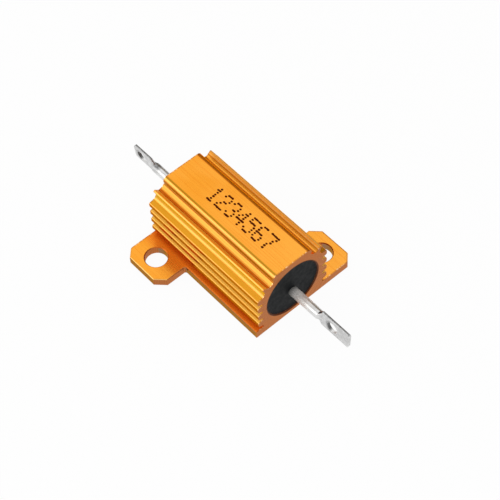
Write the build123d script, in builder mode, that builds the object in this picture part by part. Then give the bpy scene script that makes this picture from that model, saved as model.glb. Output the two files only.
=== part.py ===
from build123d import *
import os

# Aluminium housed power resistor, in millimetres.
# +X runs along the leads, +Y across the two mounting lugs, +Z up from the mounting face.
# The origin is the middle of the mounting face.

# Housing: finned extrusion around the bore for the element
body_length = 27.5
bore_diameter = 11.2
bore_floor = 0.9
bore_roof = 1.65
bore_wall = 1.05
bore_chamfer = 0.15

# Housing: straight fins down each side, under a sloped crown
fin_count = 4
fin_tip_height = 0.95
fin_tip_radius = 0.26
groove_depth = 1.0
groove_root_height = 0.48
groove_root_radius = 0.18
crown_drop = 3.825
crown_rise = 0.42

# Housing: base plate, recessed under the lowest fin
base_thickness = 1.6
base_ledge = 0.6
base_edge_radius = 0.25
recess_gap = 1.075

# Housing: flat cap along the top, rounded down each side to a narrow neck
cap_inset = 3.45
cap_rim_height = 1.0
cap_rim_radius = 0.85
neck_depth = 0.2
neck_drop = 0.25

# Housing: sloped shoulder and shallow valley between the cap and the upturned fin
shoulder_inset = 3.4
shoulder_drop = 0.35
shoulder_foot_inset = 2.9
shoulder_fall = 0.41
shoulder_foot_radius = 0.4
valley_inset = 2.5
valley_fall = 0.12
valley_radius = 0.15

# Housing: upturned fin along each side of the valley
horn_foot_inset = 2.28
horn_foot_radius = 0.2
horn_rise = 0.76
horn_crest_inset = 1.45
horn_tip_inset = 1.15
horn_tip_drop = 0.26
horn_tip_radius = 0.14
horn_stem_inset = 1.55
horn_stem_drop = 0.98
horn_root_inset = 1.65
horn_root_radius = 0.9

# Housing: two diagonal mounting lugs with one hole each
hole_diameter = 4.0
hole_chamfer = 0.15
hole_gap_to_base = 0.4
hole_gap_to_rim = 1.35
hole_gap_to_end = 2.45
hole_gap_to_side = 2.9
lug_end_chamfer = 1.35
lug_side_chamfer = 1.7
lug_corner_radius = 0.4

# Element: wound ceramic rod with a pressed metal cap on each end
element_drop = 0.8
element_inset = 4.25
element_cover = 2.6
core_chamfer = 0.3
end_cap_wall = 0.4
end_cap_depth = 3.0
end_cap_edge_radius = 0.25
wire_diameter = 0.55
wire_turns = 8
wire_clearance = 0.02

# Insulating moulding between the element and the bore
moulding_recess = 0.3
winding_clearance = 0.06

# Terminals: round leads pressed flat and pierced at their outer ends
lead_diameter = 1.75
weld_bead_diameter = 2.9
weld_bead_length = 0.6
terminal_reach = 27.15
flat_length_left = 5.45
flat_length_right = 7.05
press_length = 0.8
press_arc_angle = 60
tab_width = 3.5
tab_thickness = 0.55
tab_tip_radius = 0.6
tab_hole_diameter = 2.2
tab_hole_inset_left = 1.95
tab_hole_inset_right = 3.75
tab_twist_left = 5
tab_twist_right = -3

# Heights and half widths of the housing section, worked outward from the bore
body_height = bore_floor + bore_diameter + bore_roof
groove_root_half = bore_diameter / 2 + bore_wall
fin_half = groove_root_half + groove_depth
base_half = fin_half + base_ledge
recess_height = base_thickness + recess_gap
crown_height = body_height - crown_drop
fin_pitch = (crown_height - recess_height - fin_tip_height) / (fin_count - 1)
groove_taper = (fin_pitch - fin_tip_height - groove_root_height) / 2
horn_root_height = crown_height + crown_rise
cap_half = fin_half - cap_inset
rim_foot = body_height - cap_rim_height
neck_height = rim_foot - neck_drop
shoulder_height = neck_height - shoulder_drop
shoulder_foot_height = shoulder_height - shoulder_fall
valley_height = shoulder_foot_height - valley_fall
horn_crest_height = valley_height + horn_rise

# Outline of the lugs, worked outward from their holes
half_length = body_length / 2
hole_x = half_length - hole_gap_to_end - hole_diameter / 2
hole_y = base_half + hole_gap_to_base + hole_diameter / 2
lug_length = hole_gap_to_end + hole_diameter + hole_gap_to_side
lug_width = hole_gap_to_base + hole_diameter + hole_gap_to_rim
lug_half_span = base_half + lug_width

# Places along the leads and radii of the element
bore_axis_height = bore_floor + bore_diameter / 2
bore_top = bore_floor + bore_diameter
bore_axis = Axis((0, 0, bore_axis_height), (1, 0, 0))
element_height = bore_axis_height - element_drop
core_diameter = bore_diameter - 2 * element_cover
core_length = body_length - 2 * element_inset
element_end = core_length / 2 + end_cap_wall
cap_mouth = element_end - end_cap_depth
end_cap_radius = core_diameter / 2 + end_cap_wall
winding_radius = (core_diameter + wire_diameter) / 2 + wire_clearance
winding_cavity_radius = winding_radius + wire_diameter / 2 + winding_clearance
winding_length = 2 * cap_mouth - wire_diameter
element_axis = Axis((0, 0, element_height), (1, 0, 0))

os.makedirs("parts", exist_ok=True)

# Corners of half the housing section, each with its rounding radius, up from the mounting face
base_corners = [
    (base_half, 0, 0),
    (base_half, base_thickness, 0),
    (groove_root_half, base_thickness, groove_root_radius),
    (groove_root_half, recess_height - groove_taper, groove_root_radius),
]
fin_corners = []
for fin in range(fin_count):
    fin_foot = recess_height + fin * fin_pitch
    fin_corners.append((fin_half, fin_foot, fin_tip_radius))
    fin_corners.append((fin_half, fin_foot + fin_tip_height, fin_tip_radius))
    if fin < fin_count - 1:
        groove_foot = fin_foot + fin_tip_height + groove_taper
        fin_corners.append((groove_root_half, groove_foot, groove_root_radius))
        fin_corners.append((groove_root_half, groove_foot + groove_root_height, groove_root_radius))
horn_corners = [
    (fin_half - horn_root_inset, horn_root_height, horn_root_radius),
    (fin_half - horn_stem_inset, horn_crest_height - horn_stem_drop, 0),
    (fin_half - horn_tip_inset, horn_crest_height - horn_tip_drop, horn_tip_radius),
    (fin_half - horn_crest_inset, horn_crest_height, horn_tip_radius),
    (fin_half - horn_foot_inset, valley_height, horn_foot_radius),
]
cap_corners = [
    (fin_half - valley_inset, valley_height, valley_radius),
    (fin_half - shoulder_foot_inset, shoulder_foot_height, shoulder_foot_radius),
    (fin_half - shoulder_inset, shoulder_height, 0),
    (cap_half - neck_depth, neck_height, 0),
    (cap_half, rim_foot, 0),
    (cap_half, body_height, cap_rim_radius),
]
section_corners = base_corners + fin_corners + horn_corners + cap_corners
section_points = [(0, 0)] + [(y, z) for y, z, radius in section_corners] + [(0, body_height)]
section_radii = [radius for y, z, radius in section_corners]

# Finned extrusion: the half section is mirrored and drawn out along X
with BuildPart() as housing:
    with BuildSketch(Plane.YZ.offset(-half_length)):
        with BuildLine():
            FilletPolyline(section_points, radius=section_radii)
            mirror(about=Plane.YZ)
        make_face()
    extrude(amount=body_length)

    # Base plate outline, with a lug at two opposite corners
    with BuildSketch() as plate:
        Rectangle(body_length, 2 * base_half)
        lug_x = half_length - lug_length / 2
        lug_y = lug_half_span - lug_width / 2
        with Locations((lug_x, lug_y), (-lug_x, -lug_y)):
            Rectangle(lug_length, lug_width)
        lug_corners = plate.vertices().filter_by(lambda v: abs(v.Y) > lug_half_span - 1e-4)
        end_corners = lug_corners.filter_by(lambda v: abs(v.X) > half_length - 1e-4)
        side_corners = lug_corners.filter_by(lambda v: abs(v.X) < half_length - 1e-4)
        chamfer(end_corners, lug_end_chamfer)
        chamfer(side_corners, lug_side_chamfer)
        inner_corners = plate.vertices().filter_by(
            lambda v: abs(abs(v.Y) - base_half) < 1e-4 and abs(v.X) < half_length - 1e-4
        )
        fillet(inner_corners, lug_corner_radius)
    extrude(amount=base_thickness)
    plate_edges = housing.edges().filter_by(
        lambda e: abs(e.center().Z - base_thickness) < 1e-4
        and abs(e.center().Y) > (base_half + fin_half) / 2
        and abs(e.center().X) < half_length - 1e-4
    )
    fillet(plate_edges, base_edge_radius)
    with Locations((hole_x, hole_y, base_thickness), (-hole_x, -hole_y, base_thickness)):
        Hole(hole_diameter / 2, depth=base_thickness)
    hole_rims = housing.edges().filter_by(
        lambda e: e.geom_type == GeomType.CIRCLE
        and abs(e.radius - hole_diameter / 2) < 1e-4
        and e.center().Z > base_thickness / 2
    )
    chamfer(hole_rims, hole_chamfer)

    # Bore, widened by a small chamfer at each sawn end
    with BuildSketch(Plane.XZ):
        with BuildLine():
            Polyline(
                (-half_length, bore_axis_height),
                (-half_length, bore_top + bore_chamfer),
                (-half_length + bore_chamfer, bore_top),
                (half_length - bore_chamfer, bore_top),
                (half_length, bore_top + bore_chamfer),
                (half_length, bore_axis_height),
                close=True,
            )
        make_face()
    revolve(axis=bore_axis, mode=Mode.SUBTRACT)
housing.part.label = "housing"
export_step(housing.part, "parts/housing.step")

# Moulding: fills the bore, with a stepped cavity for the lower-set element and its leads
with BuildPart() as insulating_moulding:
    with BuildSketch(Plane.YZ.offset(-half_length + moulding_recess)):
        with Locations((0, bore_axis_height)):
            Circle(bore_diameter / 2)
    extrude(amount=body_length - 2 * moulding_recess)
    with BuildSketch(Plane.XZ) as cavity:
        with BuildLine():
            Polyline(
                (0, element_height),
                (half_length, element_height),
                (half_length, element_height + lead_diameter / 2),
                (element_end + weld_bead_length, element_height + lead_diameter / 2),
                (element_end, element_height + weld_bead_diameter / 2),
                (element_end, element_height + end_cap_radius),
                (cap_mouth, element_height + end_cap_radius),
                (cap_mouth, element_height + winding_cavity_radius),
                (0, element_height + winding_cavity_radius),
                close=True,
            )
        make_face()
        cap_corner = cavity.vertices().filter_by(
            lambda v: abs(v.X - element_end) < 1e-4 and v.Y > element_height + weld_bead_diameter / 2 + 1e-4
        )
        fillet(cap_corner, end_cap_edge_radius)
        mirror(about=Plane.YZ)
    revolve(axis=element_axis, mode=Mode.SUBTRACT)
insulating_moulding.part.label = "insulating_moulding"
export_step(insulating_moulding.part, "parts/insulating_moulding.step")

# Ceramic rod that carries the winding
with BuildPart() as ceramic_core:
    with BuildSketch(Plane.YZ.offset(-core_length / 2)):
        with Locations((0, element_height)):
            Circle(core_diameter / 2)
    extrude(amount=core_length)
    rod_ends = ceramic_core.edges().filter_by(GeomType.CIRCLE)
    chamfer(rod_ends, core_chamfer)
ceramic_core.part.label = "ceramic_core"
export_step(ceramic_core.part, "parts/ceramic_core.step")

# Resistance wire wound over the rod, from one cap's rim to the other's
with BuildPart() as resistance_winding:
    with BuildLine() as wire_path:
        Helix(
            pitch=winding_length / wire_turns,
            height=winding_length,
            radius=winding_radius,
            center=(-winding_length / 2, 0, element_height),
            direction=(1, 0, 0),
        )
    with BuildSketch(Plane(origin=wire_path.line @ 0, z_dir=wire_path.line % 0)):
        Circle(wire_diameter / 2)
    sweep(is_frenet=True)
resistance_winding.part.label = "resistance_winding"
export_step(resistance_winding.part, "parts/resistance_winding.step")

# Drawn metal cap pressed over each end of the rod
with BuildPart() as end_cap_right:
    with BuildSketch(Plane.XZ) as cup:
        with BuildLine():
            Polyline(
                (core_length / 2, element_height),
                (element_end, element_height),
                (element_end, element_height + end_cap_radius),
                (cap_mouth, element_height + end_cap_radius),
                (cap_mouth, element_height + core_diameter / 2),
                (core_length / 2, element_height + core_diameter / 2),
                close=True,
            )
        make_face()
        cup_corner = cup.vertices().filter_by(
            lambda v: v.X > element_end - 1e-4 and v.Y > element_height + 1e-4
        )
        fillet(cup_corner, end_cap_edge_radius)
    revolve(axis=element_axis)
end_cap_right.part.label = "end_cap_right"
export_step(end_cap_right.part, "parts/end_cap_right.step")

with BuildPart() as end_cap_left:
    mirror(end_cap_right.part, about=Plane.YZ)
end_cap_left.part.label = "end_cap_left"
export_step(end_cap_left.part, "parts/end_cap_left.step")


def pressed_lead(flat_length, tab_hole_inset):
    """A lead welded to the right cap: round wire, pressed transition and pierced flat tab."""
    lead_reach = terminal_reach - flat_length
    with BuildPart() as lead:
        with BuildSketch(Plane.XZ):
            with BuildLine():
                Polyline(
                    (element_end, element_height),
                    (element_end, element_height + weld_bead_diameter / 2),
                    (element_end + weld_bead_length, element_height + lead_diameter / 2),
                    (lead_reach, element_height + lead_diameter / 2),
                    (lead_reach, element_height),
                    close=True,
                )
            make_face()
        revolve(axis=element_axis)

        with BuildSketch(Plane.YZ.offset(lead_reach)):
            with BuildLine():
                side_angle = 180 - press_arc_angle
                for start, size in (
                    (-side_angle / 2, side_angle),
                    (side_angle / 2, press_arc_angle),
                    (180 - side_angle / 2, side_angle),
                    (180 + side_angle / 2, press_arc_angle),
                ):
                    CenterArc((0, element_height), lead_diameter / 2, start, size)
            make_face()
        with BuildSketch(Plane.YZ.offset(lead_reach + press_length)):
            with Locations((0, element_height)):
                SlotOverall(tab_width, tab_thickness, rotation=90)
        loft()

        with BuildSketch(Plane.YZ.offset(lead_reach + press_length)):
            with Locations((0, element_height)):
                SlotOverall(tab_width, tab_thickness, rotation=90)
        extrude(amount=terminal_reach - lead_reach - press_length)

        with BuildSketch(Plane.XZ):
            with BuildLine():
                tab_top = element_height + tab_width / 2
                Line((terminal_reach, tab_top), (terminal_reach - tab_tip_radius, tab_top))
                CenterArc((terminal_reach - tab_tip_radius, tab_top - tab_tip_radius), tab_tip_radius, 0, 90)
                Line((terminal_reach, tab_top - tab_tip_radius), (terminal_reach, tab_top))
            make_face()
            mirror(about=Plane((0, element_height, 0), z_dir=(0, 1, 0)))
        extrude(amount=tab_thickness, both=True, mode=Mode.SUBTRACT)

        with BuildSketch(Plane.XZ):
            with Locations((terminal_reach - tab_hole_inset, element_height)):
                Circle(tab_hole_diameter / 2)
        extrude(amount=tab_thickness, both=True, mode=Mode.SUBTRACT)
    return lead.part


right_lead = pressed_lead(flat_length_right, tab_hole_inset_right)
with BuildPart() as terminal_right:
    add(right_lead.rotate(element_axis, tab_twist_right))
terminal_right.part.label = "terminal_right"
export_step(terminal_right.part, "parts/terminal_right.step")

left_lead = pressed_lead(flat_length_left, tab_hole_inset_left)
with BuildPart() as terminal_left:
    mirror(left_lead.rotate(element_axis, tab_twist_left), about=Plane.YZ)
terminal_left.part.label = "terminal_left"
export_step(terminal_left.part, "parts/terminal_left.step")
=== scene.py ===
"""Dresses the aluminium housed power resistor: anodised housing, moulded element, tinned terminals."""

import math
import random

import bpy
from mathutils import Matrix, Vector, noise


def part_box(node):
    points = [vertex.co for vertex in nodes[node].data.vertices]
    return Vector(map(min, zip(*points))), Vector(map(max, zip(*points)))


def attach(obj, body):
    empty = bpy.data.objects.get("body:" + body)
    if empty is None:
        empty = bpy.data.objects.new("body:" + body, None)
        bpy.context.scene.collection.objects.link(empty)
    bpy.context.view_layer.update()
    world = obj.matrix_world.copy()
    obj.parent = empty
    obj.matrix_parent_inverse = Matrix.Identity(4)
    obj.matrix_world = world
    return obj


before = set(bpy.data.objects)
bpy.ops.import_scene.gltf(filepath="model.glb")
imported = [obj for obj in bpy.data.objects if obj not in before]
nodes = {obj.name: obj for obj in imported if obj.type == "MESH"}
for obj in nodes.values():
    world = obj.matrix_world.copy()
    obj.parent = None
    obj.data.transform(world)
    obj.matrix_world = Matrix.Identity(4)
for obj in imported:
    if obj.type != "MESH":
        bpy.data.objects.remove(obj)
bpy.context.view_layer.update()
MM = 0.001

# Places taken from the frame
housing_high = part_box("housing")[1]
moulding_low, moulding_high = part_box("insulating_moulding")
core_low, core_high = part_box("ceramic_core")
TOP_HEIGHT = housing_high.z
BODY_END = housing_high.x
BORE_RADIUS = (moulding_high.y - moulding_low.y) / 2
BORE_HEIGHT = (moulding_high.z + moulding_low.z) / 2
LEAD_HEIGHT = (core_high.z + core_low.z) / 2

# Holes of the pressed tabs, from the tips of the terminals, and of the lugs, from the middle of the part
TAB_HOLE_INSET_LEFT = 1.95 * MM
TAB_HOLE_INSET_RIGHT = 3.75 * MM
TAB_HOLE_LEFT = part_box("terminal_left")[0].x + TAB_HOLE_INSET_LEFT
TAB_HOLE_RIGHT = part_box("terminal_right")[1].x - TAB_HOLE_INSET_RIGHT
TAB_HOLE_RADIUS = 1.1 * MM
LUG_HOLE_X = 9.3 * MM
LUG_HOLE_Y = 10.65 * MM

# Camera, as the photograph shows the part. The lens has its sizes in millimetres.
CAMERA_AZIMUTH = math.radians(50.714)
CAMERA_ELEVATION = math.radians(54.994)
CAMERA_ROLL = math.radians(-3.056)
CAMERA_DISTANCE = 251.044 * MM
CAMERA_AIM = Vector((0, 0, 6 * MM))
CAMERA_OFFSET_RIGHT = -2.085 * MM
CAMERA_OFFSET_UP = 1.689 * MM
SENSOR_WIDTH = 36.0
FOCAL_LENGTH = 107.06
CLIP_START = 0.01
CLIP_END = 10

# Sockets of a Mix node by number, since those for values and for colours share their names
MIX_SHARE = 0
MIX_VALUES = (2, 3)
MIX_VALUE_OUT = 0
MIX_COLOURS = (6, 7)
MIX_COLOUR_OUT = 2

OCCLUSION_SAMPLES = 12


def srgb(red, green, blue):
    """A display colour, 0 to 255, as the linear values that a shader takes."""
    linear = []
    for value in (red, green, blue):
        share = value / 255
        linear.append(share / 12.92 if share <= 0.04045 else ((share + 0.055) / 1.055) ** 2.4)
    return (*linear, 1)


class Shader:
    """A material on one Principled shader, with short calls for the nodes that feed it."""

    def __init__(self, name):
        self.material = bpy.data.materials.new(name)
        self.material.use_nodes = True
        self.tree = self.material.node_tree
        self.principled = self.tree.nodes["Principled BSDF"]
        self.position = self.tree.nodes.new("ShaderNodeTexCoord").outputs["Object"]

    def feed(self, socket, value):
        """Links an output to a socket, or writes a plain value on it."""
        if isinstance(value, bpy.types.NodeSocket):
            self.tree.links.new(value, socket)
        else:
            socket.default_value = value

    def set(self, **values):
        """Feeds inputs of the Principled shader, with _ for each space in their names."""
        for name, value in values.items():
            self.feed(self.principled.inputs[name.replace("_", " ")], value)

    def stretched(self, x, y, z, turn=(0, 0, 0)):
        """Position in millimetres times one factor for each axis, after a turn."""
        turned = self.tree.nodes.new("ShaderNodeVectorRotate")
        turned.rotation_type = "EULER_XYZ"
        self.feed(turned.inputs["Vector"], self.position)
        turned.inputs["Rotation"].default_value = turn
        scaled = self.tree.nodes.new("ShaderNodeVectorMath")
        scaled.operation = "MULTIPLY"
        self.feed(scaled.inputs[0], turned.outputs["Vector"])
        scaled.inputs[1].default_value = (x / MM, y / MM, z / MM)
        return scaled.outputs["Vector"]

    def noise(self, vector, detail=2.0, roughness=0.5):
        """Smooth noise, mostly from 0.3 to 0.7."""
        texture = self.tree.nodes.new("ShaderNodeTexNoise")
        self.feed(texture.inputs["Vector"], vector)
        texture.inputs["Scale"].default_value = 1
        texture.inputs["Detail"].default_value = detail
        texture.inputs["Roughness"].default_value = roughness
        return texture.outputs["Fac"]

    def specks(self, vector, size):
        """1 inside small scattered spots and 0 between them."""
        texture = self.tree.nodes.new("ShaderNodeTexVoronoi")
        self.feed(texture.inputs["Vector"], vector)
        texture.inputs["Scale"].default_value = 1
        return self.span(texture.outputs["Distance"], 0, size, 1, 0)

    def rings(self, vector, distortion, detail=3):
        """Curved saw marks, from 0 to 1."""
        texture = self.tree.nodes.new("ShaderNodeTexWave")
        texture.wave_type = "RINGS"
        texture.rings_direction = "X"
        self.feed(texture.inputs["Vector"], vector)
        texture.inputs["Scale"].default_value = 1
        texture.inputs["Distortion"].default_value = distortion
        texture.inputs["Detail"].default_value = detail
        return texture.outputs["Fac"]

    def span(self, value, low, high, to_low, to_high):
        """Value mapped from one range to another, held at its ends."""
        mapped = self.tree.nodes.new("ShaderNodeMapRange")
        self.feed(mapped.inputs["Value"], value)
        for name, number in (("From Min", low), ("From Max", high), ("To Min", to_low), ("To Max", to_high)):
            mapped.inputs[name].default_value = number
        return mapped.outputs["Result"]

    def maths(self, operation, first, second=0.0):
        """The result of a Math node on one or two values."""
        done = self.tree.nodes.new("ShaderNodeMath")
        done.operation = operation
        self.feed(done.inputs[0], first)
        self.feed(done.inputs[1], second)
        return done.outputs[0]

    def both(self, *masks):
        """The product of masks and shares: 1 only where each of them is 1."""
        product = masks[0]
        for mask in masks[1:]:
            product = self.maths("MULTIPLY", product, mask)
        return product

    def either(self, *masks):
        """The highest of masks: 1 where any of them is 1."""
        highest = masks[0]
        for mask in masks[1:]:
            highest = self.maths("MAXIMUM", highest, mask)
        return highest

    def outside(self, mask):
        """1 where a mask is 0, and 0 where it is 1."""
        return self.maths("SUBTRACT", 1.0, mask)

    def distance(self, first, second):
        """Length of the slanted line that has these two lengths as its sides."""
        squares = self.maths("ADD", self.both(first, first), self.both(second, second))
        return self.maths("SQRT", squares)

    def zones(self, measures, table):
        """A mask for each zone of a table: 1 where all the limits of the zone are met."""
        masks = {}
        for zone, limits in table.items():
            met = [self.span(measures[name], empty, full, 0, 1) for name, empty, full in limits]
            masks[zone] = self.both(*met)
        return masks

    def mix(self, share, first, second):
        """Two values mixed by share."""
        mixed = self.tree.nodes.new("ShaderNodeMix")
        self.feed(mixed.inputs[MIX_SHARE], share)
        self.feed(mixed.inputs[MIX_VALUES[0]], first)
        self.feed(mixed.inputs[MIX_VALUES[1]], second)
        return mixed.outputs[MIX_VALUE_OUT]

    def blend(self, share, first, second, mode="MIX"):
        """Two colours mixed by share."""
        mixed = self.tree.nodes.new("ShaderNodeMix")
        mixed.data_type = "RGBA"
        mixed.blend_type = mode
        self.feed(mixed.inputs[MIX_SHARE], share)
        self.feed(mixed.inputs[MIX_COLOURS[0]], first)
        self.feed(mixed.inputs[MIX_COLOURS[1]], second)
        return mixed.outputs[MIX_COLOUR_OUT]

    def split(self, vector):
        """The X, Y and Z parts of a vector."""
        parts = self.tree.nodes.new("ShaderNodeSeparateXYZ")
        self.feed(parts.inputs[0], vector)
        return parts.outputs

    def facing(self):
        """The X, Y and Z parts of the direction that the surface faces."""
        return self.split(self.tree.nodes.new("ShaderNodeNewGeometry").outputs["Normal"])

    def open_sky(self, reach):
        """How open the surface is within that reach in millimetres: 1 on flats, lower in grooves."""
        occlusion = self.tree.nodes.new("ShaderNodeAmbientOcclusion")
        occlusion.samples = OCCLUSION_SAMPLES
        occlusion.inputs["Distance"].default_value = reach * MM
        return occlusion.outputs["AO"]

    def bump(self, height, depth, strength, under=None):
        """Surface relief of that depth in millimetres, over the relief that is given as under."""
        relief = self.tree.nodes.new("ShaderNodeBump")
        relief.inputs["Strength"].default_value = strength
        relief.inputs["Distance"].default_value = depth * MM
        self.feed(relief.inputs["Height"], height)
        if under is not None:
            self.feed(relief.inputs["Normal"], under)
        return relief.outputs["Normal"]


# Zones of the housing, which the light and the anodising show in golds of their own; most of these golds are
# painted light and shade. Each limit is a measure of housing_measures, its value where the zone fades out and
# its value where the zone is full. A measure with two limits makes a band. The near side is the one that the
# photograph shows, where Y is negative.
NEAR_SIDE = ("y", 0.2, -0.2)
ABOVE_CROWN = (("height", 11.3, 11.5), ("upward", 0.3, 0.5))
SLANTED = (("upward", 0.44, 0.5), ("upward", 0.93, 0.87))
ON_LUG = (("height", 1.8, 1.65), ("across", 8.4, 8.6))
HOUSING_ZONES = {
    "ends": (("endward", 0.62, 0.68),),
    "sawn_edge": (("from_end", 0.25, 0.1),),
    "bore_shade_ring": (("from_bore", 0.302, 0.162),),
    "upright_shade": (("upward", 0.55, 0.2),),
    "slanted": SLANTED,
    "near_rim": (("height", 13.0, 13.2), ("farward", -0.43, -0.38), ("farward", -0.05, -0.1)),
    "far_rim": (("height", 12.8, 12.9), ("y", 3.2, 3.36)),
    "neck": (NEAR_SIDE, ("height", 12.11, 12.14), ("height", 13.28, 13.25), ("upward", 0.65, 0.55)),
    "shoulder": (
        ("across", 4.23, 4.27),
        ("across", 4.84, 4.8),
        ("height", 11.65, 11.7),
        ("height", 12.25, 12.2),
    ),
    "valley": (NEAR_SIDE, ("across", 4.94, 5.0), ("across", 5.42, 5.36), *ABOVE_CROWN),
    "horn_face": (("across", 5.37, 5.45), ("across", 6.28, 6.2), *ABOVE_CROWN),
    "far_line": (("y", 5.55, 5.6), ("y", 5.77, 5.72), *ABOVE_CROWN),
    "far_light": (("y", 5.74, 5.78), ("y", 5.96, 5.92), *ABOVE_CROWN),
    "far_crest": (("height", 12.0, 12.1), ("y", 6.03, 6.12)),
    "horn_stem": (
        ("across", 5.9, 5.95),
        ("across", 6.75, 6.7),
        ("height", 10.25, 10.35),
        ("height", 12.3, 12.2),
        ("upward", 0.6, 0.4),
    ),
    "crown": (("height", 9.6, 9.7), ("height", 10.6, 10.5), ("upward", 0.88, 0.93)),
    "flanks": (("height", 2.8, 3.0), ("height", 9.4, 9.2), ("across", 7.65, 7.5), ("upward", -0.2, 0.1)),
    "tip_underside": (("height", 2.5, 2.6), ("height", 9.3, 9.2), ("upward", -0.05, -0.35)),
    "recess": (("height", 2.8, 2.3),),
    "strip": (NEAR_SIDE, ("height", 2.1, 1.9), ("across", 10.4, 8.4), ("upward", 0.6, 0.8)),
    "plate_top": (("height", 1.9, 1.75), ("upward", 0.9, 0.95)),
    "plate_side": (("height", 1.65, 1.55), ("upward", 0.6, 0.4)),
    "plate_rim": (("height", 1.15, 1.2), ("height", 1.75, 1.7), *SLANTED),
    "lug": ON_LUG,
    "outer_rim": (("from_lug_hole", 2.3, 2.5), *ON_LUG),
}

# Share of the metal that gives way to diffuse colour, in the zones that the photograph shows as soft bands
SOFT_ZONES = {
    "flanks": 0.88,
    "horn_face": 0.88,
    "strip": 0.75,
    "neck": 0.7,
    "horn_stem": 0.7,
    "tip_underside": 0.6,
}


def housing_measures(shader):
    """Distances in millimetres, and parts of the direction that the surface faces."""
    place = shader.split(shader.stretched(1, 1, 1))
    facing = shader.facing()
    along = shader.maths("ABSOLUTE", place["X"])
    across = shader.maths("ABSOLUTE", place["Y"])
    hole_x = shader.maths("SUBTRACT", along, LUG_HOLE_X / MM)
    hole_y = shader.maths("SUBTRACT", across, LUG_HOLE_Y / MM)
    from_axis = shader.distance(across, shader.maths("SUBTRACT", place["Z"], BORE_HEIGHT / MM))
    return {
        "x": place["X"],
        "y": place["Y"],
        "across": across,
        "height": place["Z"],
        "from_end": shader.maths("SUBTRACT", BODY_END / MM, along),
        "from_bore": shader.maths("SUBTRACT", from_axis, BORE_RADIUS / MM),
        "from_lug_hole": shader.distance(hole_x, hole_y),
        "endward": shader.maths("ABSOLUTE", facing["X"]),
        "farward": facing["Y"],
        "upward": facing["Z"],
    }


def skin_colour(shader, measures, zones, die_lines):
    """Gold of the extruded faces: the plain skin, lighter towards +X, a coat for each zone, mostly painted
    light and shade, streaks, and the sawn edges, darker and with painted glints.
    """
    tone = shader.noise(shader.stretched(0.16, 0.3, 0.3), detail=2)
    fine_lines = shader.noise(shader.stretched(0.4, 16, 16), detail=2)
    ragged = shader.noise(shader.stretched(2, 3.5, 3.5), detail=2)
    skin = shader.blend(shader.span(tone, 0.35, 0.65, 0, 1), srgb(251, 168, 58), srgb(247, 161, 48))
    skin = shader.blend(shader.span(measures["x"], -6, 14, 0, 0.7), skin, srgb(255, 176, 70))

    # Golds of painted light and shade, each in two tones across its zone
    strip_outside = shader.span(measures["across"], 7.4, 8.2, 0, 1)
    horn_outside = shader.span(measures["across"], 5.5, 5.95, 0, 1)
    rim_outside = shader.span(measures["farward"], 0.1, 0.25, 0, 1)
    groove_shade_gold = shader.blend(zones["recess"], srgb(190, 128, 36), srgb(206, 116, 28))
    strip_gold = shader.blend(strip_outside, srgb(240, 98, 10), srgb(255, 134, 30))
    horn_gold = shader.blend(horn_outside, srgb(255, 186, 60), srgb(255, 164, 44))
    far_rim_gold = shader.blend(rim_outside, srgb(168, 80, 4), srgb(250, 148, 38))
    rim_light_and_shade_gold = shader.blend(zones["outer_rim"], srgb(206, 104, 40), srgb(255, 192, 110))
    # Painted highlights on the slanted faces, the fins' upper faces, the horn faces, the far light band and
    # the lugs' outer rims; painted shade and dark reflection in the recess, the valley, the neck, the strip
    # by the body, the far line, the tips' undersides, on vertical faces, on the near and far rims and on the
    # plate's side; the shoulder, crown, horn stem and far crest are toned to how the light falls on them.
    coats = (
        ("slanted", 1, srgb(255, 174, 84)),
        ("shaded", 1, groove_shade_gold),
        ("flanks", 1, srgb(255, 200, 88)),
        ("strip", 0.9, strip_gold),
        ("horn_face", 1, horn_gold),
        ("far_line", 0.8, srgb(216, 120, 14)),
        ("far_light", 0.8, srgb(255, 190, 100)),
        ("far_crest", 0.8, srgb(218, 164, 86)),
        ("shoulder", 0.9, srgb(246, 152, 62)),
        ("crown", 0.8, srgb(238, 166, 38)),
        ("valley", 0.95, srgb(196, 86, 4)),
        ("upright_shade", 0.85, srgb(156, 92, 16)),
        ("horn_stem", 0.95, srgb(232, 190, 44)),
        ("neck", 0.95, srgb(186, 116, 4)),
        ("near_rim", 0.85, srgb(182, 132, 26)),
        ("far_rim", 0.9, far_rim_gold),
        ("plate_side", 0.95, srgb(146, 112, 90)),
        ("plate_rim", 1, rim_light_and_shade_gold),
        ("tip_underside", 1, srgb(206, 142, 26)),
    )
    for zone, cover, gold in coats:
        skin = shader.blend(shader.both(zones[zone], cover), skin, gold)

    streaks = shader.span(die_lines, 0.52, 0.72, 0, 0.45)
    skin = shader.blend(streaks, skin, srgb(255, 214, 170), mode="MULTIPLY")
    skin = shader.blend(shader.span(fine_lines, 0.55, 0.75, 0, 0.22), skin, srgb(255, 190, 84))
    skin = shader.blend(shader.both(zones["sawn_edge"], 0.5), skin, srgb(168, 92, 28))
    # Painted glints: bright flecks along the sawn edges.
    edge_glints = shader.both(zones["sawn_edge"], shader.span(ragged, 0.52, 0.6, 0, 0.8))
    return shader.blend(edge_glints, skin, srgb(255, 208, 150))


def sawn_colour(shader, zones, saw, grain):
    """Brown of the sawn ends, with the saw's rings, and a ring of painted shade round the bore."""
    sawn = shader.blend(shader.span(saw, 0.2, 0.8, 0, 1), srgb(206, 128, 72), srgb(184, 108, 54))
    sawn = shader.blend(shader.span(grain, 0.4, 0.7, 0, 0.4), sawn, srgb(160, 92, 44))
    # Painted shade round the bore, where its chamfer lies in shadow.
    return shader.blend(shader.both(zones["bore_shade_ring"], 0.9), sawn, srgb(78, 32, 14))


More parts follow.
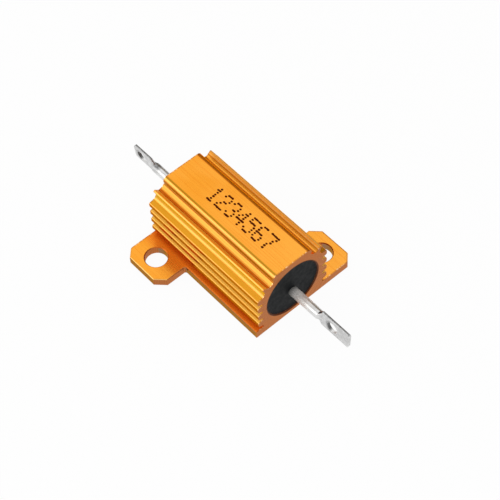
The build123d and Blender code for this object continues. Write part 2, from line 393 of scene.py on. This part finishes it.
def anodised_aluminium():
    """Gold anodised extrusion: die lines along X, satin grain, darker sawn ends, painted shade in the grooves
    and painted light and shade in zones.
    """
    shader = Shader("anodised_aluminium")
    measures = housing_measures(shader)
    zones = shader.zones(measures, HOUSING_ZONES)
    bright = shader.either(zones["flanks"], zones["horn_face"], zones["plate_top"])
    # Painted shade: the grooves and the recess take a darker gold the more closed in they are, except in the
    # zones painted as lit.
    grooves = shader.span(shader.open_sky(reach=0.7), 0.35, 0.8, 1, 0)
    zones["shaded"] = shader.both(grooves, shader.outside(bright), shader.span(zones["recess"], 0, 1, 1, 0.5))

    die_lines = shader.noise(shader.stretched(0.05, 5, 5), detail=3, roughness=0.6)
    grain = shader.noise(shader.stretched(14, 14, 14), detail=3)
    pits = shader.specks(shader.stretched(1.1, 1.7, 1.7), size=0.1)
    saw = shader.rings(shader.stretched(1, 1.1, 1.1, turn=(0.5, 0, 0)), distortion=2.5)
    saw = shader.mix(shader.both(zones["lug"], 0.75), saw, 0.5)
    skin = skin_colour(shader, measures, zones, die_lines)
    colour = shader.blend(zones["ends"], skin, sawn_colour(shader, zones, saw, grain))
    colour = shader.blend(shader.both(pits, 0.5), colour, srgb(150, 82, 14))

    soft = shader.either(*(shader.both(zones[zone], share) for zone, share in SOFT_ZONES.items()))
    grain_rough = shader.span(grain, 0.3, 0.7, 0.22, 0.3)
    line_rough = shader.span(die_lines, 0.4, 0.7, -0.02, 0.06)
    skin_rough = shader.maths("ADD", grain_rough, line_rough)
    sawn_rough = shader.span(saw, 0, 1, 0.42, 0.56)
    relief = shader.bump(die_lines, depth=0.01, strength=0.4)
    relief = shader.bump(grain, depth=0.002, strength=0.4, under=relief)
    relief = shader.bump(shader.both(saw, zones["ends"]), depth=0.02, strength=0.6, under=relief)
    shader.set(
        Base_Color=colour,
        Metallic=shader.outside(soft),
        Roughness=shader.mix(zones["ends"], skin_rough, sawn_rough),
        Normal=relief,
        Specular_IOR_Level=shader.span(soft, 0, 0.6, 0.5, 0.12),
        Specular_Tint=shader.blend(zones["ends"], srgb(255, 206, 140), srgb(255, 244, 232)),
    )
    return shader.material


def silicone_moulding():
    """Matt charcoal compound with fine filler specks, trapped bubbles and a brown edge at the bore's wall,
    which is painted shade of the bore's chamfer.
    """
    shader = Shader("silicone_moulding")
    waves = shader.noise(shader.stretched(1.1, 1.1, 1.1), detail=4, roughness=0.55)
    filler = shader.noise(shader.stretched(22, 22, 22), detail=2)
    bubbles = shader.specks(shader.stretched(1.6, 1.6, 1.6), size=0.16)
    place = shader.split(shader.stretched(1, 1, 1))
    from_axis = shader.distance(place["Y"], shader.maths("SUBTRACT", place["Z"], BORE_HEIGHT / MM))
    from_wall = shader.maths("SUBTRACT", BORE_RADIUS / MM, from_axis)
    colour = shader.blend(shader.span(waves, 0.35, 0.65, 0, 1), srgb(9, 12, 14), srgb(17, 20, 22))
    colour = shader.blend(shader.span(filler, 0.64, 0.78, 0, 0.4), colour, srgb(58, 60, 62))
    # Painted shade: a brown edge at the bore's wall, in place of the bore's chamfer in shadow.
    colour = shader.blend(shader.span(from_wall, 0.298, 0.098, 0, 0.9), colour, srgb(34, 12, 4))
    relief = shader.bump(waves, depth=0.12, strength=0.4)
    relief = shader.bump(filler, depth=0.02, strength=0.4, under=relief)
    relief = shader.bump(shader.outside(bubbles), depth=0.05, strength=0.4, under=relief)
    shader.set(
        Base_Color=colour,
        Roughness=shader.span(waves, 0.3, 0.7, 0.5, 0.72),
        Normal=relief,
        Specular_IOR_Level=0.12,
    )
    return shader.material


# Zones of the terminals, with limits as in HOUSING_ZONES; most of them paint light and shade
ON_TAB = ("from_body", 6.45, 7.05)
WIRE_ZONES = {
    "lead_shade": (("from_body", 0.95, -0.25),),
    "root": (("from_body", 5.25, 1.75),),
    "tab": (ON_TAB,),
    "tab_edge": (ON_TAB, ("upward", 0.6, 0.8)),
    "hole_wall": (("from_hole", 0.06, 0.02),),
    "hole_dent_shade": (("from_hole", -0.14, 0.06), ("from_hole", 0.5, 0.3), ("past_hole", 0.1, -0.7)),
}


def wire_measures(shader):
    """Distances in millimetres, and the upward part of the direction that the surface faces."""
    place = shader.split(shader.stretched(1, 1, 1))
    # The hole at this end of the part. The change from one to the other is in the middle, where no lead is.
    hole_x = shader.span(place["X"], -1, 1, TAB_HOLE_LEFT / MM, TAB_HOLE_RIGHT / MM)
    past_hole = shader.maths("SUBTRACT", place["X"], hole_x)
    above_hole = shader.maths("SUBTRACT", place["Z"], LEAD_HEIGHT / MM)
    return {
        "from_body": shader.maths("SUBTRACT", shader.maths("ABSOLUTE", place["X"]), BODY_END / MM),
        "past_hole": past_hole,
        "from_hole": shader.maths("SUBTRACT", shader.distance(past_hole, above_hole), TAB_HOLE_RADIUS / MM),
        "upward": shader.facing()["Z"],
    }


def tinned_wire():
    """Bright tin over copper-clad wire: soft ripples, draw lines along X, small dull stains, with painted
    light on the root and the hole wall, and painted shade by the body, along the tab's top edge, round the
    hole and on the hole wall's -X side.
    """
    shader = Shader("tinned_wire")
    measures = wire_measures(shader)
    zones = shader.zones(measures, WIRE_ZONES)
    ripples = shader.noise(shader.stretched(0.5, 1.1, 1.1), detail=2)
    draw_lines = shader.noise(shader.stretched(0.4, 5, 5), detail=2)
    stains = shader.noise(shader.stretched(0.6, 0.9, 0.9), detail=4, roughness=0.6)
    mottle = shader.noise(shader.stretched(2.4, 2.4, 2.4), detail=3, roughness=0.6)
    nicks = shader.specks(shader.stretched(1.2, 2.2, 2.2), size=0.1)
    tab_mottle = shader.both(zones["tab"], shader.span(mottle, 0.35, 0.65, 0.1, 0.9))
    # Painted shade along the tab's top edge, mottled.
    edge_shade_mottle = shader.both(zones["tab_edge"], shader.span(mottle, 0.35, 0.6, 1, 0.5))
    # Painted light and shade on the hole's wall: dark on its -X side, light towards its +X side.
    lit_wall = shader.span(measures["past_hole"], -0.6, -0.1, 0, 1)
    wall_light_and_shade = shader.blend(lit_wall, srgb(104, 104, 103), srgb(246, 246, 245))
    colour = shader.blend(shader.span(stains, 0.48, 0.68, 0, 0.6), srgb(226, 226, 225), srgb(184, 182, 178))
    colour = shader.blend(shader.span(draw_lines, 0.55, 0.75, 0, 0.25), colour, srgb(164, 163, 162))
    colour = shader.blend(shader.both(nicks, 0.5), colour, srgb(122, 119, 115))
    colour = shader.blend(tab_mottle, colour, srgb(192, 192, 192))
    colour = shader.blend(edge_shade_mottle, colour, srgb(112, 112, 112))
    # Painted light: the lead's root is lighter, and less metallic below, so that it reads as lit.
    colour = shader.blend(shader.both(zones["root"], 0.9), colour, srgb(250, 247, 242))
    # Painted shade on the lead where it leaves the compound.
    colour = shader.blend(shader.both(zones["lead_shade"], 0.9), colour, srgb(52, 50, 49))
    # Painted shade in the dent round the hole.
    colour = shader.blend(shader.both(zones["hole_dent_shade"], 0.6), colour, srgb(136, 136, 135))
    colour = shader.blend(zones["hole_wall"], colour, wall_light_and_shade)
    dull = shader.either(zones["hole_wall"], shader.both(zones["root"], 0.85))
    relief = shader.bump(ripples, depth=0.05, strength=0.3)
    relief = shader.bump(draw_lines, depth=0.008, strength=0.4, under=relief)
    relief = shader.bump(shader.outside(nicks), depth=0.01, strength=0.4, under=relief)
    shader.set(
        Base_Color=colour,
        Metallic=shader.span(dull, 0, 1, 1, 0.35),
        Roughness=shader.span(stains, 0.35, 0.7, 0.24, 0.38),
        Normal=relief,
    )
    return shader.material


def ceramic():
    """Unglazed white ceramic with faint grinding rings and iron specks."""
    shader = Shader("ceramic")
    ground = shader.noise(shader.stretched(9, 0.5, 0.5), detail=3)
    grain = shader.noise(shader.stretched(12, 12, 12), detail=3)
    iron = shader.specks(shader.stretched(1.3, 1.3, 1.3), size=0.13)
    colour = shader.blend(shader.span(grain, 0.35, 0.65, 0, 1), srgb(238, 233, 221), srgb(224, 217, 202))
    colour = shader.blend(shader.both(iron, 0.6), colour, srgb(158, 132, 104))
    relief = shader.bump(ground, depth=0.02, strength=0.5)
    relief = shader.bump(grain, depth=0.02, strength=0.4, under=relief)
    shader.set(Base_Color=colour, Roughness=shader.span(grain, 0.3, 0.7, 0.6, 0.78), Normal=relief)
    return shader.material


def drawn_metal(name, light, dark, rough, rough_range=0.14):
    """Plated or drawn metal with rings around X, a dull bloom and small stains."""
    shader = Shader(name)
    drawn = shader.noise(shader.stretched(11, 0.6, 0.6), detail=3)
    bloom = shader.noise(shader.stretched(0.7, 0.7, 0.7), detail=4)
    spots = shader.specks(shader.stretched(1.5, 1.5, 1.5), size=0.12)
    colour = shader.blend(shader.span(bloom, 0.35, 0.65, 0, 1), srgb(*light), srgb(*dark))
    colour = shader.blend(shader.both(spots, 0.5), colour, srgb(96, 84, 72))
    relief = shader.bump(drawn, depth=0.015, strength=0.5)
    relief = shader.bump(bloom, depth=0.03, strength=0.3, under=relief)
    shader.set(
        Base_Color=colour,
        Metallic=1.0,
        Roughness=shader.span(drawn, 0.3, 0.7, rough, rough + rough_range),
        Normal=relief,
    )
    return shader.material


def marking_ink():
    """Dark brown dot-printed ink, uneven in depth of colour."""
    shader = Shader("marking_ink")
    patchy = shader.noise(shader.stretched(5, 5, 5), detail=3)
    grain = shader.noise(shader.stretched(30, 30, 30), detail=2)
    colour = shader.blend(shader.span(patchy, 0.35, 0.65, 0, 1), srgb(72, 14, 0), srgb(98, 30, 2))
    shader.set(
        Base_Color=colour,
        Roughness=shader.span(grain, 0.3, 0.7, 0.5, 0.75),
        Normal=shader.bump(grain, depth=0.01, strength=0.4),
        Specular_IOR_Level=0.02,
    )
    return shader.material


# Finishes of the CAD nodes
MOULDING_FINISH = silicone_moulding()
TIN_FINISH = tinned_wire()
CAP_FINISH = drawn_metal("cap_steel", (196, 194, 188), (160, 156, 148), 0.26)
FINISHES = {
    "housing": anodised_aluminium(),
    "insulating_moulding": MOULDING_FINISH,
    "ceramic_core": ceramic(),
    "resistance_winding": drawn_metal("resistance_wire", (158, 154, 148), (120, 112, 104), 0.3),
    "end_cap_left": CAP_FINISH,
    "end_cap_right": CAP_FINISH,
    "terminal_left": TIN_FINISH,
    "terminal_right": TIN_FINISH,
}
for node_name, finish in FINISHES.items():
    mesh = nodes[node_name].data
    mesh.materials.clear()
    mesh.materials.append(finish)


def new_piece(name, points, faces, finish, smooth=True):
    """A mesh piece of the object, in metres in the shared frame."""
    mesh = bpy.data.meshes.new(name)
    mesh.from_pydata(points, [], faces)
    mesh.validate()
    mesh.materials.append(finish)
    piece = bpy.data.objects.new(name, mesh)
    bpy.context.scene.collection.objects.link(piece)
    for polygon in mesh.polygons:
        polygon.use_smooth = smooth
    mesh.update()
    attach(piece, "root")


# Compound faces: the poured surface in each end of the bore, drawn up on the lead and the wall
FACE_TURNS = 120
FACE_RINGS = 26
FACE_INNER_RADIUS = 0.85 * MM  # a little inside the lead, so that no slit shows round it
FACE_CLEARANCE = 0.01 * MM
LEAD_CLIMB = 0.16 * MM
LEAD_CLIMB_WIDTH = 0.2 * MM
WALL_CLIMB = 0.1 * MM
WALL_CLIMB_WIDTH = 0.3 * MM
FACE_WAVE = 0.03 * MM
FACE_WAVE_LENGTH = 1.6 * MM
FACE_NOISE_PLACE = 7  # metres along X, so that each face has waves of its own


def compound_face(name, end_x, outward):
    """The uneven surface of the compound, from the lead out to the bore wall."""
    points = []
    for ring in range(FACE_RINGS + 1):
        share = ring / FACE_RINGS
        eased = share * share * (3 - 2 * share)
        radius = FACE_INNER_RADIUS + (BORE_RADIUS - FACE_INNER_RADIUS) * eased
        centre_z = LEAD_HEIGHT + (BORE_HEIGHT - LEAD_HEIGHT) * eased
        climb = LEAD_CLIMB * math.exp(-(radius - FACE_INNER_RADIUS) / LEAD_CLIMB_WIDTH)
        climb += WALL_CLIMB * math.exp(-(BORE_RADIUS - radius) / WALL_CLIMB_WIDTH)
        for turn in range(FACE_TURNS):
            angle = 2 * math.pi * turn / FACE_TURNS
            y = radius * math.cos(angle)
            z = centre_z + radius * math.sin(angle)
            noise_place = Vector((outward * FACE_NOISE_PLACE, y, z)) / FACE_WAVE_LENGTH
            wave = noise.noise(noise_place) * FACE_WAVE
            lift = FACE_CLEARANCE + FACE_WAVE + wave * math.sin(math.pi * share) + climb
            points.append((end_x + outward * lift, y, z))
    faces = []
    for ring in range(FACE_RINGS):
        for turn in range(FACE_TURNS):
            corner = ring * FACE_TURNS + turn
            beside = ring * FACE_TURNS + (turn + 1) % FACE_TURNS
            face = (corner, corner + FACE_TURNS, beside + FACE_TURNS, beside)
            faces.append(face if outward < 0 else face[::-1])
    new_piece(name, points, faces, MOULDING_FINISH)


compound_face("compound_face_right", moulding_high.x, 1)
compound_face("compound_face_left", moulding_low.x, -1)

# Marking: plain numerals in printed dots on the flat top
DOT_ROWS = 7
DOT_PITCH_X = 0.36 * MM
DOT_PITCH_Y = 0.5 * MM
NUMERAL_PITCH = 2.2 * MM
MARKING_START_X = -5.85 * MM
MARKING_BASE_Y = -1.48 * MM
DOT_RADIUS = 0.21 * MM
DOT_RADIUS_RANGE = (0.88, 1.1)
DOT_TOP_SHARE = 0.8
DOT_STRETCH = 1.2
DOT_HEIGHT = 0.012 * MM
DOT_SIDES = 12
DOT_SCATTER = 0.035 * MM
MARKING_SEED = 4
NUMERALS = {
    "1": ("..#..", ".##..", "..#..", "..#..", "..#..", "..#..", ".###."),
    "2": (".###.", "#...#", "....#", "..##.", ".#...", "#....", "#####"),
    "3": (".###.", "#...#", "....#", "..##.", "....#", "#...#", ".###."),
    "4": ("...#.", "..##.", ".#.#.", "#..#.", "#####", "...#.", "...#."),
    "5": ("#####", "#....", "####.", "....#", "....#", "#...#", ".###."),
    "6": (".###.", "#....", "#....", "####.", "#...#", "#...#", ".###."),
    "7": ("#####", "....#", "...#.", "...#.", "..#..", "..#..", "..#.."),
}


def add_dot(points, faces, x, y, radius):
    """Adds a low ink dot that is long along X and a little smaller at its top."""
    first = len(points)
    for ring_radius, height in ((radius, 0), (radius * DOT_TOP_SHARE, DOT_HEIGHT)):
        for side in range(DOT_SIDES):
            angle = 2 * math.pi * side / DOT_SIDES
            point_x = x + DOT_STRETCH * ring_radius * math.cos(angle)
            point_y = y + ring_radius * math.sin(angle)
            points.append((point_x, point_y, TOP_HEIGHT + height))
    for side in range(DOT_SIDES):
        after = (side + 1) % DOT_SIDES
        faces.append((first + side, first + after, first + DOT_SIDES + after, first + DOT_SIDES + side))
    faces.append(tuple(first + DOT_SIDES + side for side in range(DOT_SIDES)))


def printed_marking(text):
    """Rows of ink dots that spell the text along X."""
    random.seed(MARKING_SEED)
    points = []
    faces = []
    for place, numeral in enumerate(text):
        for row, line in enumerate(NUMERALS[numeral]):
            for column, mark in enumerate(line):
                if mark != "#":
                    continue
                x = MARKING_START_X + place * NUMERAL_PITCH + column * DOT_PITCH_X
                y = MARKING_BASE_Y + (DOT_ROWS - 1 - row) * DOT_PITCH_Y
                x += random.uniform(-DOT_SCATTER, DOT_SCATTER)
                y += random.uniform(-DOT_SCATTER, DOT_SCATTER)
                add_dot(points, faces, x, y, DOT_RADIUS * random.uniform(*DOT_RADIUS_RANGE))
    new_piece("printed_marking", points, faces, marking_ink(), smooth=False)


printed_marking("1234567")


# Floor, card, world and lamps, in metres
FLOOR_REACH = 1.5
FLOOR_HEIGHT = 0.01 * MM  # a hair above the mounting face, so that the two planes don't flicker
FLOOR_GREY = (0.9, 0.9, 0.9, 1)
FLOOR_GLOW_SHARE = 0.95
WHITE = (1, 1, 1, 1)
CARD_LEFT = -0.28
CARD_BACK = 0.2
CARD_HEIGHT = 0.25
CARD_BROWN = (0.3, 0.24, 0.18, 1)
CARD_ROUGHNESS = 0.9
WORLD_STRENGTH = 0.84
PART_MIDDLE = (0, 0, 0.006)


def white_floor():
    """A pale floor that reads as white and keeps a soft shadow."""
    material = bpy.data.materials.new("floor_white")
    material.use_nodes = True
    tree = material.node_tree
    tree.nodes.clear()
    output = tree.nodes.new("ShaderNodeOutputMaterial")
    light_path = tree.nodes.new("ShaderNodeLightPath")
    seen = tree.nodes.new("ShaderNodeMath")
    seen.operation = "MAXIMUM"
    tree.links.new(light_path.outputs["Is Camera Ray"], seen.inputs[0])
    tree.links.new(light_path.outputs["Is Glossy Ray"], seen.inputs[1])
    share = tree.nodes.new("ShaderNodeMath")
    share.operation = "MULTIPLY"
    share.inputs[1].default_value = FLOOR_GLOW_SHARE
    tree.links.new(seen.outputs[0], share.inputs[0])
    diffuse = tree.nodes.new("ShaderNodeBsdfDiffuse")
    diffuse.inputs["Color"].default_value = FLOOR_GREY
    glow = tree.nodes.new("ShaderNodeEmission")
    glow.inputs["Color"].default_value = WHITE
    glow.inputs["Strength"].default_value = 1.0
    mixed = tree.nodes.new("ShaderNodeMixShader")
    tree.links.new(share.outputs[0], mixed.inputs["Fac"])
    tree.links.new(diffuse.outputs[0], mixed.inputs[1])
    tree.links.new(glow.outputs[0], mixed.inputs[2])
    tree.links.new(mixed.outputs[0], output.inputs["Surface"])
    return material


def dark_card():
    """Matt brown card."""
    material = bpy.data.materials.new("card_dark")
    material.use_nodes = True
    principled = material.node_tree.nodes["Principled BSDF"]
    principled.inputs["Base Color"].default_value = CARD_BROWN
    principled.inputs["Roughness"].default_value = CARD_ROUGHNESS
    return material


def sheet(name, corners, material):
    """An object with one flat face."""
    mesh = bpy.data.meshes.new(name)
    mesh.from_pydata(corners, [], [(0, 1, 2, 3)])
    mesh.materials.append(material)
    flat = bpy.data.objects.new(name, mesh)
    bpy.context.scene.collection.objects.link(flat)
    return flat


floor = sheet(
    "floor",
    [
        (-FLOOR_REACH, -FLOOR_REACH, FLOOR_HEIGHT),
        (FLOOR_REACH, -FLOOR_REACH, FLOOR_HEIGHT),
        (FLOOR_REACH, FLOOR_REACH, FLOOR_HEIGHT),
        (-FLOOR_REACH, FLOOR_REACH, FLOOR_HEIGHT),
    ],
    white_floor(),
)

# The card stands behind the part, and the faces turned that way reflect it
card = sheet(
    "dark_card",
    [
        (CARD_LEFT, CARD_BACK, 0),
        (0, CARD_BACK, 0),
        (0, CARD_BACK, CARD_HEIGHT),
        (CARD_LEFT, CARD_BACK, CARD_HEIGHT),
    ],
    dark_card(),
)

world = bpy.data.worlds.new("studio")
bpy.context.scene.world = world
world.use_nodes = True
background = world.node_tree.nodes["Background"]
background.inputs["Color"].default_value = WHITE
background.inputs["Strength"].default_value = WORLD_STRENGTH


def softbox(name, place, aim, size, power):
    """A square area lamp at place that looks at aim."""
    lamp = bpy.data.lights.new(name, "AREA")
    lamp.shape = "SQUARE"
    lamp.size = size
    lamp.energy = power
    holder = bpy.data.objects.new(name, lamp)
    holder.location = place
    holder.rotation_euler = (Vector(aim) - Vector(place)).to_track_quat("-Z", "Y").to_euler()
    bpy.context.scene.collection.objects.link(holder)


softbox("key_softbox", place=(-0.2, -0.34, 0.24), aim=PART_MIDDLE, size=0.3, power=0.32)
softbox("top_softbox", place=(-0.2, 0.16, 0.42), aim=PART_MIDDLE, size=0.34, power=0.09)

# Camera
back = Vector(
    (
        math.sin(CAMERA_AZIMUTH) * math.cos(CAMERA_ELEVATION),
        -math.cos(CAMERA_AZIMUTH) * math.cos(CAMERA_ELEVATION),
        math.sin(CAMERA_ELEVATION),
    )
)
level_right = Vector((math.cos(CAMERA_AZIMUTH), math.sin(CAMERA_AZIMUTH), 0))
level_up = back.cross(level_right)
right = math.cos(CAMERA_ROLL) * level_right + math.sin(CAMERA_ROLL) * level_up
up = math.cos(CAMERA_ROLL) * level_up - math.sin(CAMERA_ROLL) * level_right
camera_place = CAMERA_AIM - CAMERA_OFFSET_RIGHT * right - CAMERA_OFFSET_UP * up + CAMERA_DISTANCE * back
camera_data = bpy.data.cameras.new("camera")
camera_data.lens = FOCAL_LENGTH
camera_data.sensor_width = SENSOR_WIDTH
camera_data.clip_start = CLIP_START
camera_data.clip_end = CLIP_END
camera = bpy.data.objects.new("camera", camera_data)
bpy.context.scene.collection.objects.link(camera)
turned = Matrix((right, up, back)).transposed().to_4x4()
camera.matrix_world = Matrix.Translation(camera_place) @ turned
bpy.context.scene.camera = camera
bpy.context.scene.view_settings.view_transform = "Standard"
